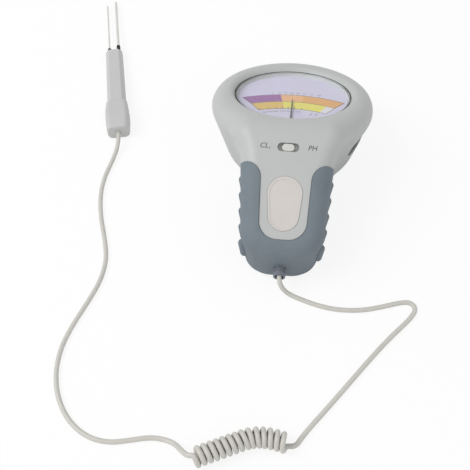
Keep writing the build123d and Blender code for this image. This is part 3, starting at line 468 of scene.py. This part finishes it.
def stroke(start, end, width):
    """Outline of a straight printed line."""
    run = Vector(end) - Vector(start)
    side = Vector((-run.y, run.x)).normalized() * width / 2
    a, b = Vector(start), Vector(end)
    return [tuple(p) for p in (a + side, b + side, b - side, a - side)]


def arc_line(radius, start, end, width, steps=32):
    """Outline of a printed arc between two angles."""
    angles = [start + (end - start) * step / steps for step in range(steps + 1)]
    outer = [scale_place(a, radius + width / 2) for a in angles]
    inner = [scale_place(a, radius - width / 2) for a in angles]
    return outer + inner[::-1]


def tick_row(ring, angles, reach, width):
    """Outlines of the ticks that stand on a ring, up to reach beyond it."""
    return [
        stroke(scale_place(a, ring + tick_gap), scale_place(a, ring + reach), width)
        for a in angles
    ]


purple_end = -0.25
peach_end = 0.2
gold_end = -0.24
yellow_end = 0.8

print_piece("band_purple", (152, 84, 158), [band_outline(0, 1, -1, purple_end)])
print_piece("band_peach", (240, 182, 118), [band_outline(0, 1, purple_end, peach_end)])
print_piece("band_orange", (232, 168, 84), [band_outline(0, 1, peach_end, 1)])
print_piece("band_gold", (228, 190, 84), [band_outline(1, 2, -1, gold_end)])
print_piece("band_yellow", (236, 226, 88), [band_outline(1, 2, gold_end, yellow_end)])
print_piece("band_white", (232, 229, 234), [band_outline(1, 2, yellow_end, 1)])

line_width = 0.35
line_lift = 0.02
tick_lift = 0.04
tick_gap = 0.2
guide_width = 0.3

lines = [arc_line(r, -e, e, line_width) for r, e in zip(rings, ring_ends)]
for side in (-1, 1):
    for outer in (0, 1):
        start = scale_place(side * ring_ends[outer], rings[outer])
        end = scale_place(side * ring_ends[outer + 1], rings[outer + 1])
        lines.append(stroke(start, end, line_width))
print_piece("scale_lines", (84, 70, 84), lines, line_lift)

lower_tick_angles = (-24.1, -17.6, -11.6, -7.2, -3.2, 1.2, 6.6)
upper_angles = (-10.6, -7.4, -4.2, -1.0, 2.2, 5.4, 9.0, 13.0)
lower_ticks = tick_row(rings[2], lower_tick_angles, reach=1.7, width=0.45)
upper_ticks = tick_row(rings[0], upper_angles, reach=1.3, width=0.3)
print_piece("scale_ticks", (60, 52, 60), lower_ticks + upper_ticks, tick_lift)

# Two guide strokes beside the bands, as places across the dial and toward the tail
guides = [
    stroke((10.0, 22.1), (11.6, 18.7), guide_width),
    stroke((13.3, 21.6), (14.4, 18.9), guide_width),
]
print_piece("scale_strokes", (96, 88, 100), guides, line_lift)


# Numbers of the scale, and the marks of the switch's positions on the front face

letter_depth = 0.02
ink = moulded("ink", (66, 62, 74), 0.5, patch=0.002)


def mark(name, body, words, place, right, up, size, lean=0.0):
    """Raised print at a place, reading along right."""
    data = bpy.data.curves.new(name, "FONT")
    data.body = words
    data.size = size * MM
    data.align_x = "CENTER"
    data.align_y = "CENTER"
    data.extrude = letter_depth * MM
    data.shear = lean
    data.resolution_u = 3
    letters = add_object("letters", data)
    bpy.context.view_layer.update()
    mesh = bpy.data.meshes.new_from_object(letters)
    bpy.data.objects.remove(letters)
    mesh.materials.clear()
    mesh.materials.append(ink)
    made = add_object(name, mesh)
    normal = right.cross(up)
    axes = Matrix((right, up, normal)).transposed().to_4x4()
    made.matrix_world = Matrix.Translation(place) @ axes
    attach(made, body)
    return made


def scale_number(name, words, angle, radius, size):
    """A number of the scale, upright on its arc."""
    turn = radians(angle)
    right = across * cos(turn) + dial_near * sin(turn)
    up = across * sin(turn) - dial_near * cos(turn)
    x, near = scale_place(angle, radius)
    spot = dial_spot(x, near, plate_height + print_thickness)
    return mark(name, "tester", words, spot, right, up, size)


lower_numbers = ("6.4", "6.6", "6.8", "7.0", "7.2", "7.4", "7.6")
upper_numbers = ("0", "0.2", "0.4", "0.6", "0.8", "1.0", "1.5", "2.0")
lower_angles = (-21.6, -17.2, -13.0, -8.2, -4.4, -0.4, 4.6)

# Name, numbers, their angles, the radius of their arc, and their size
number_rows = (
    ("lower_number", lower_numbers, lower_angles, 40.9, 2.0),
    ("upper_number", upper_numbers, upper_angles, 66.0, 1.7),
)
for row_name, numbers, angles, radius, size in number_rows:
    for index, (words, angle) in enumerate(zip(numbers, angles)):
        scale_number(f"{row_name}_{index}", words, angle, radius, size)

# Name, letters, place across and down the face from the ridge, size, and lean
mark_height = 0.01
mark_rows = (
    ("mark_cl", "CL", -12.9, 12.2, 3.9, 0.25),
    ("mark_cl_index", "2", -9.9, 13.3, 1.7, 0.25),
    ("mark_ph", "PH", 12.65, 12.3, 3.9, 0.2),
)
for name, words, x, drop, size, lean in mark_rows:
    spot = front_spot(x, drop, mark_height)
    mark(name, "tester", words, spot, across, front_up, size, lean)


# Dark ring round the lens: painted shade of the gap between the lens and its seat

lens_gap_shade_radius = 33.5
lens_gap_shade_thickness = 0.55
lens_gap_shade_height = -0.2


def add_ring(built, place, radius, thickness, height, around=96, section=8):
    """A round ring parallel to the dial."""
    loops = []
    for step in range(around):
        turn = 2 * pi * step / around
        loop = []
        for part in range(section):
            tilt = 2 * pi * part / section
            out = radius + thickness / 2 * cos(tilt)
            up = height + thickness / 2 * sin(tilt)
            loop.append(built.verts.new(place(out * cos(turn), out * sin(turn), up)))
        loops.append(loop)
    for a, b in zip(loops, loops[1:] + loops[:1]):
        for part in range(section):
            after = (part + 1) % section
            built.faces.new((a[part], a[after], b[after], b[part]))


# A dark round bead in the lens seat, in the seal's dark material, that paints the shade of the
# gap
lens_gap_shade_mesh = bmesh.new()
add_ring(lens_gap_shade_mesh, dial_spot, lens_gap_shade_radius, lens_gap_shade_thickness, lens_gap_shade_height)
lens_gap_shade_ring = new_piece("lens_gap_shade", "tester", lens_gap_shade_mesh)
finish_with(lens_gap_shade_ring, "seal")
for polygon in lens_gap_shade_ring.data.polygons:
    polygon.use_smooth = True


# Floor and light

white = (1, 1, 1, 1)
paper_colour = (0.95, 0.95, 0.95, 1)
glow_share = 0.85
world_strength = 0.62
floor_reach = 3.0
lamp_aim = Vector((0, -0.05, 0))


def glowing_paper(name):
    """Matt paper that the camera sees almost white, while its light on the object is plain."""
    made, tree = new_material(name)
    diffuse = node_of(tree, "ShaderNodeBsdfDiffuse", Color=paper_colour)
    glow = node_of(tree, "ShaderNodeEmission", Color=white, Strength=1.0)
    rays = tree.nodes.new("ShaderNodeLightPath")
    share = tree.nodes.new("ShaderNodeMath")
    share.operation = "MULTIPLY"
    tree.links.new(rays.outputs["Is Camera Ray"], share.inputs[0])
    share.inputs[1].default_value = glow_share
    show_mix(tree, share.outputs[0], diffuse, glow)
    return made


def softbox(name, place, size, power):
    """A square lamp that faces the object."""
    data = bpy.data.lights.new(name, "AREA")
    data.shape = "SQUARE"
    data.size = size
    data.energy = power
    made = add_object(name, data)
    made.location = place
    aim = lamp_aim - made.location
    made.rotation_mode = "QUATERNION"
    made.rotation_quaternion = aim.to_track_quat("-Z", "Y")
    return made


floor_mesh = bmesh.new()
bmesh.ops.create_grid(floor_mesh, x_segments=1, y_segments=1, size=floor_reach)
floor_data = bpy.data.meshes.new("floor")
floor_mesh.to_mesh(floor_data)
floor_mesh.free()
floor = add_object("floor", floor_data)
floor_data.materials.append(glowing_paper("paper"))

world = bpy.data.worlds.new("world")
world.use_nodes = True
background = world.node_tree.nodes["Background"]
background.inputs["Color"].default_value = white
background.inputs["Strength"].default_value = world_strength
scene.world = world

softbox("key_light", Vector((-1.0, -0.2, 1.2)), size=0.9, power=11.0)
softbox("fill_light", Vector((0.9, -0.9, 1.1)), size=1.2, power=2.5)
